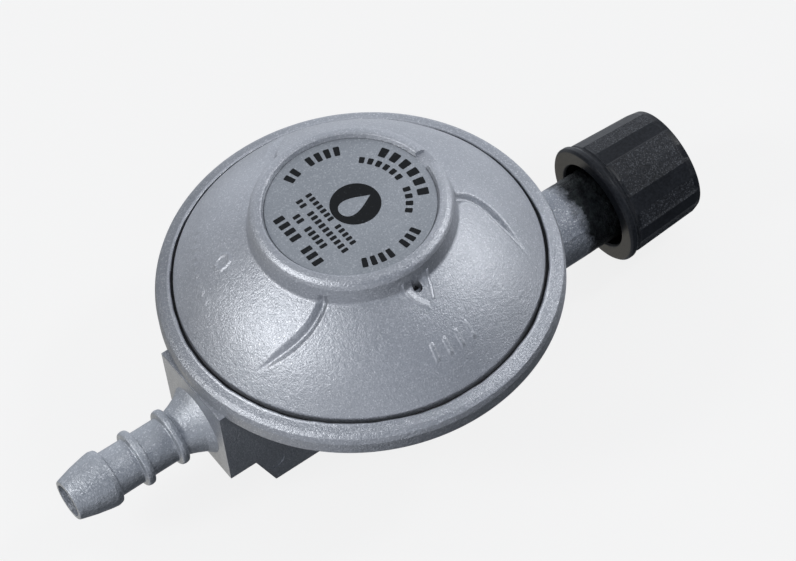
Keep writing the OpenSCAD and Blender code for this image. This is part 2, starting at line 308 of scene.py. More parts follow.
def add_bump(tree, shader, height, distance_mm, strength=1.0):
    bump = tree.nodes.new("ShaderNodeBump")
    bump.inputs["Distance"].default_value = distance_mm * MM
    bump.inputs["Strength"].default_value = strength
    tree.links.new(height, bump.inputs["Height"])
    if shader.inputs["Normal"].is_linked:
        before = shader.inputs["Normal"].links[0].from_socket
        tree.links.new(before, bump.inputs["Normal"])
    tree.links.new(bump.outputs["Normal"], shader.inputs["Normal"])


def cast_alloy(name, dark, light, grain=1.0, rough_low=0.36, rough_high=0.5):
    """Blasted die-cast alloy: fine grain, bright flecks and faint cloudy stains."""
    material, tree, shader = new_material(name, 0.4, metallic=0.92)
    fine = add_noise(tree, 3000, detail=3.0, roughness=0.6)
    clouds = add_noise(tree, 45, detail=3.0)
    flecks = add_flecks(tree, 4200)
    mix = combine(tree, "ADD", remap(tree, fine, 0.3, 0.7, 0.0, 0.5),
                  remap(tree, clouds, 0.35, 0.65, 0.15, 0.5))
    color = blend_colors(tree, mix, dark, light)
    bright = remap(tree, flecks, 0.80, 0.98, 0.0, 0.30 * grain)
    tree.links.new(blend_colors(tree, bright, color, (0.92, 0.93, 0.95)), shader.inputs["Base Color"])
    tree.links.new(remap(tree, fine, 0.3, 0.7, rough_low, rough_high), shader.inputs["Roughness"])
    add_bump(tree, shader, fine, 0.11 * grain)
    add_bump(tree, shader, add_noise(tree, 900, detail=2.0), 0.09 * grain)
    return material


def spigot_alloy():
    """The alloy with a rough, dark greenish band where the spigot enters the hand nut; the band's
    near-black colour is partly a stain and partly painted shade where the spigot goes into the nut's mouth.
    """
    material = cast_alloy("alloy_spigot", (0.18, 0.195, 0.22), (0.36, 0.38, 0.415), grain=1.4)
    tree = material.node_tree
    shader = tree.nodes["Principled BSDF"]
    clean = shader.inputs["Base Color"].links[0].from_socket
    coords = tree.nodes.new("ShaderNodeTexCoord")
    split = tree.nodes.new("ShaderNodeSeparateXYZ")
    tree.links.new(coords.outputs["Object"], split.inputs["Vector"])
    speckle = combine(tree, "SUBTRACT", add_noise(tree, 170, detail=6.0, roughness=0.7), 0.5)
    ragged = combine(tree, "MULTIPLY", speckle, 0.009)
    edge = combine(tree, "ADD", split.outputs["X"], ragged)
    # painted shade: the band is blended to near black, standing in for the shade where the spigot goes into
    # the hand nut, over a rough greenish stain
    grime_and_shade = remap(tree, edge, 0.0504, 0.0530, 0.0, 0.97)
    patches = remap(tree, add_noise(tree, 700, detail=4.0), 0.42, 0.6, 0.0, 1.0)
    stain_and_shade = blend_colors(tree, patches, (0.003, 0.0035, 0.004), (0.014, 0.018, 0.017))
    tree.links.new(blend_colors(tree, grime_and_shade, clean, stain_and_shade), shader.inputs["Base Color"])
    add_bump(tree, shader, combine(tree, "MULTIPLY", grime_and_shade, add_noise(tree, 500, detail=5.0)), 0.5)
    return material


def rim_alloy():
    """The alloy of the rolled rim, with painted shade that darkens it on the side towards -X and +Y."""
    material = cast_alloy("alloy_rim", (0.27, 0.285, 0.31), (0.46, 0.475, 0.505), grain=1.3)
    tree = material.node_tree
    shader = tree.nodes["Principled BSDF"]
    bright = shader.inputs["Base Color"].links[0].from_socket
    coords = tree.nodes.new("ShaderNodeTexCoord")
    split = tree.nodes.new("ShaderNodeSeparateXYZ")
    tree.links.new(coords.outputs["Object"], split.inputs["Vector"])
    across = combine(tree, "SUBTRACT", split.outputs["Y"], split.outputs["X"])
    # painted shade: the rim's side towards -X and +Y is blended towards near black
    darkened = remap(tree, across, 0.022, 0.054, 0.0, 0.4)
    tree.links.new(blend_colors(tree, darkened, bright, (0.07, 0.075, 0.08)), shader.inputs["Base Color"])
    return material


def moulded_plastic(name, color, roughness, grain_mm, grain_scale=1800, fleck=0.0, shine=0.35):
    """Moulded black plastic with a spark-eroded grain."""
    material, tree, shader = new_material(name, roughness)
    set_input(shader, "Specular IOR Level", shine)
    grain = add_noise(tree, grain_scale, detail=3.0, roughness=0.65)
    soft = add_noise(tree, 80, detail=2.0)
    lighter = tuple(min(1.0, channel * 2.2 + 0.006) for channel in color)
    mottle = combine(tree, "ADD", grain, combine(tree, "MULTIPLY", soft, 0.5))
    color_mix = remap(tree, mottle, 0.55, 0.95, 0.0, 1.0)
    base = blend_colors(tree, color_mix, color, lighter)
    if fleck > 0:
        bright = remap(tree, add_flecks(tree, 4600), 0.70, 0.98, 0.0, fleck)
        base = blend_colors(tree, bright, base, (0.20, 0.21, 0.23))
    tree.links.new(base, shader.inputs["Base Color"])
    tree.links.new(remap(tree, grain, 0.3, 0.7, roughness - 0.06, roughness + 0.08),
                   shader.inputs["Roughness"])
    add_bump(tree, shader, grain, grain_mm)
    return material


def turned_metal(name, color, roughness, ring_scale=900):
    """Machined metal: faint tool marks across it and small colour changes."""
    material, tree, shader = new_material(name, roughness, metallic=1.0)
    coords = tree.nodes.new("ShaderNodeTexCoord")
    stretch = tree.nodes.new("ShaderNodeMapping")
    stretch.inputs["Scale"].default_value = (6.0, 0.35, 0.35)
    marks = tree.nodes.new("ShaderNodeTexNoise")
    marks.inputs["Scale"].default_value = ring_scale
    marks.inputs["Detail"].default_value = 3.0
    tree.links.new(coords.outputs["Object"], stretch.inputs["Vector"])
    tree.links.new(stretch.outputs["Vector"], marks.inputs["Vector"])
    darkened = tuple(channel * 0.72 for channel in color)
    tint = remap(tree, add_noise(tree, 160, detail=3.0), 0.35, 0.7, 0.0, 1.0)
    tree.links.new(blend_colors(tree, tint, darkened, color), shader.inputs["Base Color"])
    tree.links.new(remap(tree, marks.outputs["Fac"], 0.3, 0.7, roughness - 0.07, roughness + 0.1),
                   shader.inputs["Roughness"])
    add_bump(tree, shader, marks.outputs["Fac"], 0.02)
    return material


def soft_rubber(name, color, roughness=0.75):
    material, tree, shader = new_material(name, roughness)
    dust = add_noise(tree, 350, detail=4.0)
    lighter = tuple(channel * 2.0 + 0.01 for channel in color)
    tree.links.new(blend_colors(tree, remap(tree, dust, 0.4, 0.75, 0.0, 1.0), color, lighter),
                   shader.inputs["Base Color"])
    tree.links.new(remap(tree, dust, 0.3, 0.7, roughness - 0.1, roughness + 0.1),
                   shader.inputs["Roughness"])
    add_bump(tree, shader, add_noise(tree, 2200, detail=2.0), 0.02)
    return material


def printing_ink():
    material, tree, shader = new_material("print_ink", 0.6)
    set_input(shader, "Specular IOR Level", 0.2)
    wear = remap(tree, add_noise(tree, 1500, detail=4.0), 0.62, 0.78, 0.0, 0.35)
    tree.links.new(blend_colors(tree, wear, (0.004, 0.005, 0.006), (0.10, 0.11, 0.12)),
                   shader.inputs["Base Color"])
    add_bump(tree, shader, add_noise(tree, 2600, detail=2.0), 0.02)
    return material


ALLOY = cast_alloy("alloy_casting", (0.30, 0.315, 0.34), (0.50, 0.515, 0.545))
ALLOY_NOZZLE = cast_alloy("alloy_nozzle", (0.28, 0.30, 0.325), (0.48, 0.50, 0.53), grain=1.3)
ALLOY_SPIGOT = spigot_alloy()
ALLOY_RIM = rim_alloy()
ALLOY_DISC = cast_alloy("alloy_disc", (0.26, 0.28, 0.30), (0.40, 0.42, 0.445), grain=0.7,
                        rough_low=0.42, rough_high=0.55)
PLASTIC = moulded_plastic("plastic_smooth", (0.006, 0.007, 0.009), 0.34, 0.02, shine=0.2)
PLASTIC_GRAIN = moulded_plastic("plastic_grained", (0.008, 0.009, 0.011), 0.46, 0.2, fleck=0.3,
                                shine=0.25)
# painted shade: a darker, less shiny copy of the black plastic for the hand nut's bore and mouth; the
# adjusting screw also uses it
PLASTIC_INNER = moulded_plastic("plastic_inner", (0.004, 0.004, 0.005), 0.5, 0.04, shine=0.15)
PLASTIC_BOBBIN = moulded_plastic("plastic_bobbin", (0.03, 0.03, 0.032), 0.4, 0.02)
BRASS = turned_metal("brass_turned", (0.78, 0.56, 0.27), 0.28)
BRASS_SINTERED = turned_metal("brass_sintered", (0.50, 0.36, 0.19), 0.55, ring_scale=2600)
STEEL = turned_metal("steel_plated", (0.66, 0.67, 0.68), 0.26)
STEEL_SPRING = turned_metal("steel_spring", (0.50, 0.51, 0.53), 0.32)
RUBBER = soft_rubber("rubber_black", (0.018, 0.018, 0.019))
RUBBER_SEAL = soft_rubber("rubber_seal", (0.05, 0.022, 0.016), 0.7)
INK = printing_ink()
# painted shade: a near-black material for the gap beside the rolled lip and the vent pit's wall
PAINTED_GAP_SHADE = soft_rubber("painted_gap_shade", (0.012, 0.012, 0.013), 0.9)

NODE_MATERIALS = {
    "adjusting_screw": PLASTIC_INNER,
    "main_spring": STEEL_SPRING,
    "diaphragm": RUBBER,
    "diaphragm_plate": STEEL,
    "diaphragm_stem": BRASS,
    "stem_clip": STEEL_SPRING,
    "lever": STEEL,
    "lever_pin": STEEL_SPRING,
    "lever_bracket": STEEL,
    "bracket_screws": STEEL,
    "valve_slide": BRASS,
    "valve_pad": RUBBER_SEAL,
    "orifice_seat": BRASS,
    "inlet_nipple": BRASS,
    "sealing_washer": RUBBER,
    "inlet_filter": BRASS_SINTERED,
    "excess_flow_seat": BRASS,
    "excess_flow_bobbin": PLASTIC_BOBBIN,
    "excess_flow_spring": STEEL_SPRING,
    "retaining_ring": STEEL_SPRING,
}


def paint(obj, material):
    obj.data.materials.clear()
    obj.data.materials.append(material)
    return obj


def paint_carried_nodes():
    for name, material in NODE_MATERIALS.items():
        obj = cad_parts[name]
        if len(obj.material_slots) == 0:
            obj.data.materials.append(material)
        for slot in obj.material_slots:
            slot.link = "OBJECT"
            slot.material = material


# ---------------------------------------------------------------- the cover

def swirl(points, rounds=3):
    """A smooth line through (radius, angle) points: each round cuts the corners, the ends stay."""
    line = [polar(radius, degrees) for radius, degrees in points]
    for _ in range(rounds):
        cut = [line[0]]
        for (ax, ay), (bx, by) in zip(line, line[1:]):
            cut.append((0.75 * ax + 0.25 * bx, 0.75 * ay + 0.25 * by))
            cut.append((0.25 * ax + 0.75 * bx, 0.25 * ay + 0.75 * by))
        line = cut + [line[-1]]
    return line


# Centre lines of the three grooves on the dome: (radius, angle)
GROOVES = [
    swirl([(20.5, -26), (21.2, -24.2), (22.3, -23.2), (23.8, -23.2), (25.4, -25.2), (27.1, -28.5),
           (28.8, -32.2), (30.8, -36.2), (33.1, -39.8), (34.8, -42)]),
    swirl([(20.6, -141.5), (21.8, -141.8), (23.9, -143.5), (26.3, -146), (29.2, -150.8), (32.2, -156.5),
           (34.8, -161)]),
    swirl([(20.6, 97.5), (22.2, 98), (23.8, 97.2), (25.6, 94.9), (27.4, 91.4), (29.3, 87.2),
           (31.6, 83), (34.8, 77.5)]),
]
GROOVE_HALF_W = 1.25
GROOVE_DEPTH = 1.0
GROOVE_LIP = 0.04
GROOVE_LIP_W = 0.4

# The shallow scoop below the vent hole
SCOOP_LEFT = swirl([(20.4, -97), (20.9, -96.5), (22.8, -94.8), (24.1, -92.6), (25.0, -90)])
SCOOP_RIGHT = swirl([(20.4, -80.2), (21.2, -81.2), (22.7, -83), (24.2, -85.4)])
SCOOP_EDGE = 0.28
SCOOP_EDGE_W = 0.18
SCOOP_DEPTH = 0.34
VENT_R = 0.85
VENT_DEPTH = 1.8
VENT_CENTRE = polar(21.2, -89.0)

# The pry notch through the boss's ring: where its two sides lie along Y, and its floor
NOTCH_FADE = (-1.85, -1.45)
NOTCH_STEP = (2.05, 1.9)
NOTCH_SINK = 0.15
NOTCH_RISE = 0.25
NOTCH_TOP_Z = 54.3

# Where the painted shade begins: in the gap beside the rolled lip, and on the vent pit's wall
GAP_R = 37.3
VENT_WALL_Z = 49.9


def groove_relief(x, y):
    """The three grooves, which narrow and fade out, each with a faint lip."""
    relief = np.zeros(x.shape)
    for line in GROOVES:
        gap, along = line_distance(x, y, line)
        fade = smooth_step(0.5, 1.0, along)
        half = GROOVE_HALF_W * (1 - 0.6 * fade)
        relief -= GROOVE_DEPTH * (1 - fade) * (1 - smooth_step(0.0, 1.0, gap / half))
        relief += GROOVE_LIP * (1 - fade) * np.exp(-((gap - half) / GROOVE_LIP_W) ** 2)
    return relief


def scoop_relief(x, y):
    """A shallow hollow between two fine raised edges."""
    left_gap, _ = line_distance(x, y, SCOOP_LEFT)
    right_gap, _ = line_distance(x, y, SCOOP_RIGHT)
    edge_gap = np.minimum(left_gap, right_gap)
    inside = inside_polygon(x, y, SCOOP_LEFT + list(reversed(SCOOP_RIGHT)))
    edges = SCOOP_EDGE * np.exp(-(edge_gap / SCOOP_EDGE_W) ** 2)
    return edges - np.where(inside, SCOOP_DEPTH * smooth_step(0.25, 1.4, edge_gap), 0.0)


def dome_relief(x, y):
    """How far the dome stands above its plain outline at each place, in millimetres."""
    return groove_relief(x, y) + scoop_relief(x, y) + raised_marks(x, y)


# Raised pips: angles, distance out, rise, and where the half width and the half length fade
PIPS = [
    ((-96.5, -91.2, -86, -81), 31.5, 0.24, (0.25, 0.6), (1.0, 1.5)),
    (range(135, 171, 4), 32.0, 0.12, (0.35, 0.8), (0.3, 0.7)),
]


def raised_marks(x, y):
    """Plain raised pips in two places, and a plain raised ring."""
    radius = np.hypot(x, y)
    degrees = np.degrees(np.arctan2(y, x))
    ring_x, ring_y = polar(26.6, 158)
    ring_gap = np.abs(np.hypot(x - ring_x, y - ring_y) - 1.5)
    marks = 0.16 * (1 - smooth_step(0.15, 0.5, ring_gap))
    for centres, ring_r, rise, half_w, half_len in PIPS:
        along = 1 - smooth_step(*half_len, np.abs(radius - ring_r))
        for centre in centres:
            across = np.abs(np.radians(degrees - centre) * radius)
            marks += rise * (1 - smooth_step(*half_w, across)) * along
    return marks


def fine_spacing(radius):
    """Row spacing of the cover: close together where the vent and its scoop are."""
    return 0.12 if 20.0 < radius < 25.4 else 0.28


def cover_angles():
    """Column angles of the cover: close together at the scoop and at the notch's two sides."""
    bands = [(-180, -99, 162), (-99, -78, 105), (-78, -8, 140), (-8, 9, 85), (9, 180, 342)]
    pieces = [np.linspace(low, high, count, endpoint=False) for low, high, count in bands]
    return np.radians(np.concatenate(pieces))


def cover_profile():
    """The outside, filleted and finely spaced, and the inside, both as (radius, height) points."""
    edge, foot, bulge, steps = (37.2, RIM_Z + 1.4), (20.8, 50.4), 1.5, 14
    dome = []
    for i in range(1, steps):
        t = i / steps
        lift = bulge * math.sin(math.pi * t)
        dome.append((edge[0] + (foot[0] - edge[0]) * t + lift * 0.68,
                     edge[1] + (foot[1] - edge[1]) * t + lift * 0.73, 0))
    outside = [(39.1, BEAD_TOP_Z, 0), (39.1, FLANGE_TOP_Z - 0.02, 0), (37.35, FLANGE_TOP_Z - 0.02, 0.15),
               (37.25, edge[1] - 0.1, 0.9)]
    outside += dome + [(foot[0] + 0.05, foot[1] - 0.05, 1.1)]
    outside += [(20.15, 53.9, 0.6), (19.75, 54.75, 1.2), (18.9, 55.3, 1.0), (17.9, 55.5, 0.6),
                (17.5, 55.38, 0.15), (17.2, 54.75, 0.1), (17.06, 54.5, 0)]
    outer_path = resampled(rounded_path(outside, closed=False), fine_spacing)
    inside = [(17.06, 53.5), (13.0, 53.5), (13.0, 44.5), (16.2, 44.5), (16.2, 49.4), (19.4, 49.4),
              (27.6, 43), (35.4, 35.6), (36.15, BEAD_TOP_Z)]
    return outer_path, inside


def make_cover():
    outer_path, inside = cover_profile()
    angles = cover_angles()
    radius, height, theta = grid(outer_path + inside, len(angles))
    theta[:] = angles
    rows = len(outer_path)
    slope = np.gradient(np.array(outer_path), axis=0)
    length = np.hypot(slope[:, 0], slope[:, 1])
    normal_r = (slope[:, 1] / length)[:, None]
    normal_z = (-slope[:, 0] / length)[:, None]
    r, z, a = radius[:rows], height[:rows], theta[:rows]
    x, y = r * np.cos(a), r * np.sin(a)
    on_dome = smooth_step(36.4, 35.6, r) * smooth_step(20.2, 20.7, r) * (z < 52.2) * (z > RIM_Z + 0.5)
    relief = dome_relief(x, y) * on_dome
    r = r + normal_r * relief
    z = z + normal_z * relief
    # vent hole, sunk straight down
    vent_gap = np.hypot(x - VENT_CENTRE[0], y - VENT_CENTRE[1])
    z = z - VENT_DEPTH * (1 - smooth_step(VENT_R - 0.05, VENT_R + 0.1, vent_gap)) * (radius[:rows] > 20.25)
    # pry notch through the ring, level with the disc inside and fading out at the shoulder
    notch = smooth_step(*NOTCH_FADE, y) * smooth_step(*NOTCH_STEP, y) * (x > 0)
    notch = notch * (height[:rows] > NOTCH_TOP_Z)
    floor_z = DISC_TOP_Z - NOTCH_SINK + NOTCH_RISE * smooth_step(17.0, 20.0, radius[:rows])
    z = np.where(notch > 0, z + notch * (np.minimum(z, floor_z) - z), z)
    radius[:rows], height[:rows] = r, z
    points = about_z(radius, height, theta).reshape(-1, 3)
    cover = mesh_from("cover_dome", points, loop_faces(len(outer_path) + len(inside), len(angles)), 40)
    paint(cover, ALLOY)
    cover.data.materials.append(PAINTED_GAP_SHADE)
    # painted shade: the pit's wall and the gap beside the rolled lip get a near-black material
    for face in cover.data.polygons[:(rows - 1) * len(angles)]:
        x, y, z = face.center / MM
        in_vent = math.hypot(x - VENT_CENTRE[0], y - VENT_CENTRE[1]) < VENT_R + 0.02
        in_gap = math.hypot(x, y) > GAP_R and z < FLANGE_TOP_Z + 0.1
        face.material_index = 1 if in_gap or (in_vent and z < VENT_WALL_Z) else 0
    return cover


# ---------------------------------------------------------------- the printed disc

def make_disc():
    # the lower face is open under its middle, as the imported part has
    outline = rounded_path([(0.05, 54.0, 0), (14.4, 54.0, 0), (14.5, 53.55, 0), (17.02, 53.55, 0),
                            (17.02, DISC_TOP_Z, 0.1), (0.05, DISC_TOP_Z, 0)])
    disc = turned_z("sealed_disc", outline, columns=180)
    return paint(disc, ALLOY_DISC)


def rounded_block(width, height, corner):
    """Outline of a block with rounded corners, about its centre."""
    points = []
    for cx, cy, start in ((1, 1, 0), (-1, 1, 90), (-1, -1, 180), (1, -1, 270)):
        for step in range(4):
            a = math.radians(start + 30 * step)
            points.append((cx * (width / 2 - corner) + corner * math.cos(a),
                           cy * (height / 2 - corner) + corner * math.sin(a)))
    return points


def add_plate(bm, outline, z_low, z_high):
    """A thin flat solid with that outline."""
    low = [bm.verts.new((x * MM, y * MM, z_low * MM)) for x, y in outline]
    high = [bm.verts.new((x * MM, y * MM, z_high * MM)) for x, y in outline]
    bm.faces.new(high)
    bm.faces.new(list(reversed(low)))
    count = len(outline)
    for i in range(count):
        j = (i + 1) % count
        bm.faces.new((low[i], low[j], high[j], high[i]))


def add_ring_plate(bm, outer, inner, z_low, z_high):
    """A thin flat solid between two outlines that have the same number of points."""
    loops = []
    for outline in (outer, inner):
        for z in (z_low, z_high):
            loops.append([bm.verts.new((x * MM, y * MM, z * MM)) for x, y in outline])
    outer_low, outer_high, inner_low, inner_high = loops
    count = len(outer)
    for i in range(count):
        j = (i + 1) % count
        bm.faces.new((outer_high[i], outer_high[j], inner_high[j], inner_high[i]))
        bm.faces.new((outer_low[j], outer_low[i], inner_low[i], inner_low[j]))
        bm.faces.new((outer_low[i], outer_low[j], outer_high[j], outer_high[i]))
        bm.faces.new((inner_low[j], inner_low[i], inner_high[i], inner_high[j]))


# Rows of plain blocks round the disc: (radius, first angle, last angle, block height, blocks in each group)
PRINT_ARCS = [
    (14.1, 117, 62, 2.3, (2, 4)),
    (14.4, 33, -30, 2.3, (6,)),
    (11.5, 48, -49, 1.5, (6, 4)),
    (14.3, -61, -118, 2.3, (3, 4)),
]
# Straight rows below the sign: (x, first y, last y, block height, blocks in each group)
PRINT_ROWS = [
    (-4.9, 7.9, -8.2, 1.3, (7, 5)),
    (-7.2, 7.8, -8.8, 1.45, (2, 10)),
    (-9.8, 5.1, -5.3, 1.6, (2, 5)),
    (-12.9, 6.9, -8.1, 2.3, (4, 3)),
]
BLOCK_FILL = 0.62
BLOCK_CORNER_ARC = 0.22
BLOCK_CORNER_ROW = 0.18
SIGN_CENTRE = (1.0, -0.2)
SIGN_R = 5.1
SIGN_STEPS = 72
DROP_LENGTH = 3.7
DROP_HALF_W = 2.9
PRINT_SINK = 0.01
PRINT_RISE = 0.03


def group_places(groups):
    """Centres of the blocks as shares of the row, with one empty place between groups."""
    places = sum(groups) + len(groups) - 1
    out = []
    place = 0
    for size in groups:
        for _ in range(size):
            out.append((place + 0.5) / places)
            place += 1
        place += 1
    return out, 1.0 / places


def add_sign(bm, z_low, z_high):
    """A round field with a drop left open in it."""
    centre_x, centre_y = SIGN_CENTRE
    outer, inner = [], []
    for k in range(SIGN_STEPS):
        a = 2 * math.pi * k / SIGN_STEPS
        outer.append((centre_x + SIGN_R * math.cos(a), centre_y + SIGN_R * math.sin(a)))
        inner.append((centre_x + DROP_LENGTH * math.cos(a),
                      centre_y + DROP_HALF_W * math.sin(a) * abs(math.sin(a / 2)) ** 1.5))
    add_ring_plate(bm, outer, inner, z_low, z_high)


def make_print():
    z_low, z_high = DISC_TOP_Z - PRINT_SINK, DISC_TOP_Z + PRINT_RISE
    bm = bmesh.new()
    for radius, first, last, height, groups in PRINT_ARCS:
        shares, pitch = group_places(groups)
        width = abs(last - first) * math.pi / 180 * radius * pitch * BLOCK_FILL
        for share in shares:
            turn = math.radians(first + (last - first) * share)
            outline = []
            for u, v in rounded_block(width, height, BLOCK_CORNER_ARC):
                angle = turn + u / radius
                outline.append(((radius + v) * math.cos(angle), (radius + v) * math.sin(angle)))
            add_plate(bm, outline, z_low, z_high)
    for x, first, last, height, groups in PRINT_ROWS:
        shares, pitch = group_places(groups)
        width = abs(last - first) * pitch * BLOCK_FILL
        for share in shares:
            y = first + (last - first) * share
            outline = [(x + v, y + u) for u, v in rounded_block(width, height, BLOCK_CORNER_ROW)]
            add_plate(bm, outline, z_low, z_high)
    add_sign(bm, z_low, z_high)
    bmesh.ops.recalc_face_normals(bm, faces=bm.faces)
    mesh = bpy.data.meshes.new("disc_print")
    bm.to_mesh(mesh)
    bm.free()
    return paint(link_mesh("disc_print", mesh), INK)


# ---------------------------------------------------------------- the body casting

BOWL_COLUMNS = 480

# Waves that make the lip's inner edge uneven: (waves round the rim, size, start)
LIP_WAVES = [(5, 0.05, 0.4), (9, 0.05, 2.1), (17, 0.035, 4.0), (31, 0.03, 1.2), (53, 0.02, 3.3)]


def make_bowl():
    """The bowl and its rolled rim. The lip's inner edge is a little uneven."""
    outside = [(0.05, 14.3, 0), (27.5, 14.3, 1.5), (35.4, 22, 3), (38.9, 28.2, 0.8), (40.5, 28.8, 0.8),
               (41.3, 29.8, 0.5), (41.3, 32.6, 0.8), (40.9, 33.8, 0.5), (40.0, 34.45, 0.35),
               (38.6, 34.85, 0.3), (38.25, 35.1, 0.2), (37.95, 34.95, 0.15), (37.9, FLANGE_TOP_Z, 0)]
    outer_path = resampled(rounded_path(outside, closed=False), 1.2)
    inside = [(39.1, FLANGE_TOP_Z), (39.1, 31.2), (35.2, 31.2), (35.2, 29.6), (33, 24), (27, 17),
              (0.05, 17)]
    profile = outer_path + inside
    radius, height, theta = grid(profile, BOWL_COLUMNS)
    near_lip = smooth_step(38.9, 38.1, radius) * (radius > 37.5) * (height > 34.0) * (height < 35.6)
    uneven = 0.0
    for turns, size, start in LIP_WAVES:
        uneven = uneven + size * np.sin(turns * theta + start)
    radius = radius - near_lip * uneven
    height = height + near_lip * uneven * 0.6
    points = about_z(radius, height, theta).reshape(-1, 3)
    return mesh_from("housing_casting", points, loop_faces(len(profile), BOWL_COLUMNS))


def make_block():
    """The valve block under the rim, with softened edges."""
    outline = [(-41.5, 30.25), (-41.5, 9.5), (-35.4, 9.5), (-31.6, 0), (32, 0), (34, 2), (34, 24),
               (28, 30.25)]
    bm = bmesh.new()
    near = [bm.verts.new((x * MM, -BLOCK_HALF_W * MM, z * MM)) for x, z in outline]
    far = [bm.verts.new((x * MM, BLOCK_HALF_W * MM, z * MM)) for x, z in outline]
    bm.faces.new(near)
    bm.faces.new(list(reversed(far)))
    for i in range(len(outline)):
        j = (i + 1) % len(outline)
        bm.faces.new((near[j], near[i], far[i], far[j]))
    bmesh.ops.recalc_face_normals(bm, faces=bm.faces)
    bmesh.ops.bevel(bm, geom=bm.edges[:], offset=0.25 * MM, segments=2, profile=0.7, affect="EDGES")
    mesh = bpy.data.meshes.new("block")
    bm.to_mesh(mesh)
    bm.free()
    return link_mesh("block", mesh)


def make_nozzle():
    """Hose nozzle: flared neck, two rounded rings and a rounded barb."""
    def ring_at(x):
        return [(4.9, x - 1.05, 0.25), (6.0, x - 0.8, 0.5), (6.15, x, 0.4), (6.0, x + 0.8, 0.5),
                (4.9, x + 1.05, 0.25)]

    corners = [(0.05, -72.2, 0), (4.35, -72.2, 0.25), (4.6, -71.4, 0.6), (5.35, -68.6, 2.0),
               (6.0, -65.2, 1.5), (6.15, -63.9, 0.5), (5.9, -62.8, 0.5), (4.95, -62.5, 0.3)]
    corners += ring_at(-56.05) + ring_at(-47.95)
    corners += [(4.95, -46.6, 0.6), (5.6, -44.8, 1.5), (6.4, -43.0, 1.0), (7.6, -41.5, 0.5),
                (8.4, -38.5, 0), (0.05, -38.5, 0)]
    path = resampled(rounded_path(corners, closed=False), 0.8)
    return turned_x("nozzle", path, OUTLET_Z, columns=160, closed=False)


SPIGOT_COLUMNS = 240
SPIGOT_SKIN_R = 8.2

# The mould's parting line along the spigot
SEAM_SIDES_DEG = (328, 148)
SEAM_HALF_DEG = 1.6
SEAM_RISE = 0.10


def make_spigot():
    """Inlet spigot, rough and a little swollen where it enters the hand nut."""
    path = resampled([(0.05, 30.0), (8.25, 30.0), (8.25, 60.3), (8.0, 60.6), (0.05, 60.6)], 0.45)
    radius, station, phi = grid(path, SPIGOT_COLUMNS)
    points = about_x(radius, station, phi, INLET_Z).reshape(-1, 3)
    rough = wave_noise(points, 0.9, 3.0) * 0.5 + wave_noise(points, 2.1, 9.0) * 0.35
    rough = rough.reshape(radius.shape)
    outer = radius > SPIGOT_SKIN_R
    band = smooth_step(51.0, 53.5, station + 3 * rough) * smooth_step(59.5, 58.5, station) * outer
    seam = sum(np.exp(-((np.degrees(phi) - side) / SEAM_HALF_DEG) ** 2) for side in SEAM_SIDES_DEG)
    radius = radius + band * (0.16 * rough - 0.06) + SEAM_RISE * seam * outer * (1 - band)
    points = about_x(radius, station, phi, INLET_Z).reshape(-1, 3)
    return mesh_from("spigot", points, tube_faces(len(path), SPIGOT_COLUMNS))


# Where the casting's own finishes begin
SPIGOT_X = 43
NOZZLE_X = -41.6
RIM_FOOT_Z = 28.6
RIM_INNER_R = 38.8

# Place of the shallow round ejector mark on the block's -Y side, in metres
EJECTOR_MARK_M = (-31.0 * MM, -10.28 * MM, 6.2 * MM)


def make_body():
    body = make_bowl()
    boolean(body, [make_block(), make_nozzle(), make_spigot()], "UNION")
    cavity = turned_z("cavity", [(0.01, 17), (27, 17), (33, 24), (35.2, 29.6), (35.2, 31.2), (0.01, 31.2)],
                      columns=144, closed=False)
    mouth = turned_x("mouth", [(0.01, -73), (3.6, -73), (3.55, -72.2), (3.1, -68), (3.1, -25), (0.01, -25)],
                     OUTLET_Z, 96, closed=False)
    passage = turned_x("passage", [(0.01, -26), (3.4, -26), (3.4, -6.5), (4.0, -6.5), (4.0, 0.0),
                                   (4.4, 0.0), (4.4, 50.0), (6.0, 50.0), (6.0, 62.0), (0.01, 62.0)],
                       INLET_Z, 96, closed=False)
    pocket = mesh_from("pocket", [(x, y, z) for x in (-27, -16) for y in (-4.5, 4.5) for z in (3, 19)],
                       [(0, 1, 3, 2), (4, 6, 7, 5), (0, 4, 5, 1), (2, 3, 7, 6), (0, 2, 6, 4), (1, 5, 7, 3)])
    holes = []
    for y in (-7.6, 7.6):
        hole = turned_z("hole", [(0.01, 12), (1.2, 12), (1.2, 20), (0.01, 20)], 32, closed=False)
        hole.data.transform(Matrix.Translation((-22 * MM, y * MM, 0)))
        holes.append(hole)
    mark = turned_z("mark", [(0.01, 0), (2.1, 0), (2.1, 1), (0.01, 1)], 48, closed=False)
    mark_place = Matrix.Translation(EJECTOR_MARK_M)
    mark.data.transform(mark_place @ Matrix.Rotation(math.pi / 2, 4, "X"))
    boolean(body, [cavity, mouth, passage, pocket, mark] + holes, "DIFFERENCE")
    paint(body, ALLOY)
    for material in (ALLOY_SPIGOT, ALLOY_NOZZLE, ALLOY_RIM):
        body.data.materials.append(material)
    for face in body.data.polygons:
        x, y, z = face.center / MM
        if x > SPIGOT_X:
            face.material_index = 1
        elif x < NOZZLE_X:
            face.material_index = 2
        elif z > RIM_FOOT_Z and math.hypot(x, y) > RIM_INNER_R:
            face.material_index = 3
    finish_shading(body, 34)
    return body


# ---------------------------------------------------------------- the hand nut

FACET_DEG = 36
FACET_START_DEG = -10
FLAT_DEG = FACET_DEG / 2
FLAT_SCALE = 11.88
LEAN = 0.30
RIDGE_RISE = 0.288
GRAIN_MIRROR_DEG = 116

# Extent of the grained finish, and radii inside which the wheel gets the darker copy of its plastic as
# painted shade
GRAIN_X = (61.9, 76.9)
WHEEL_BORE_R = 9.9
WHEEL_MOUTH_R = 11.2
WHEEL_REAR_X = 58.4


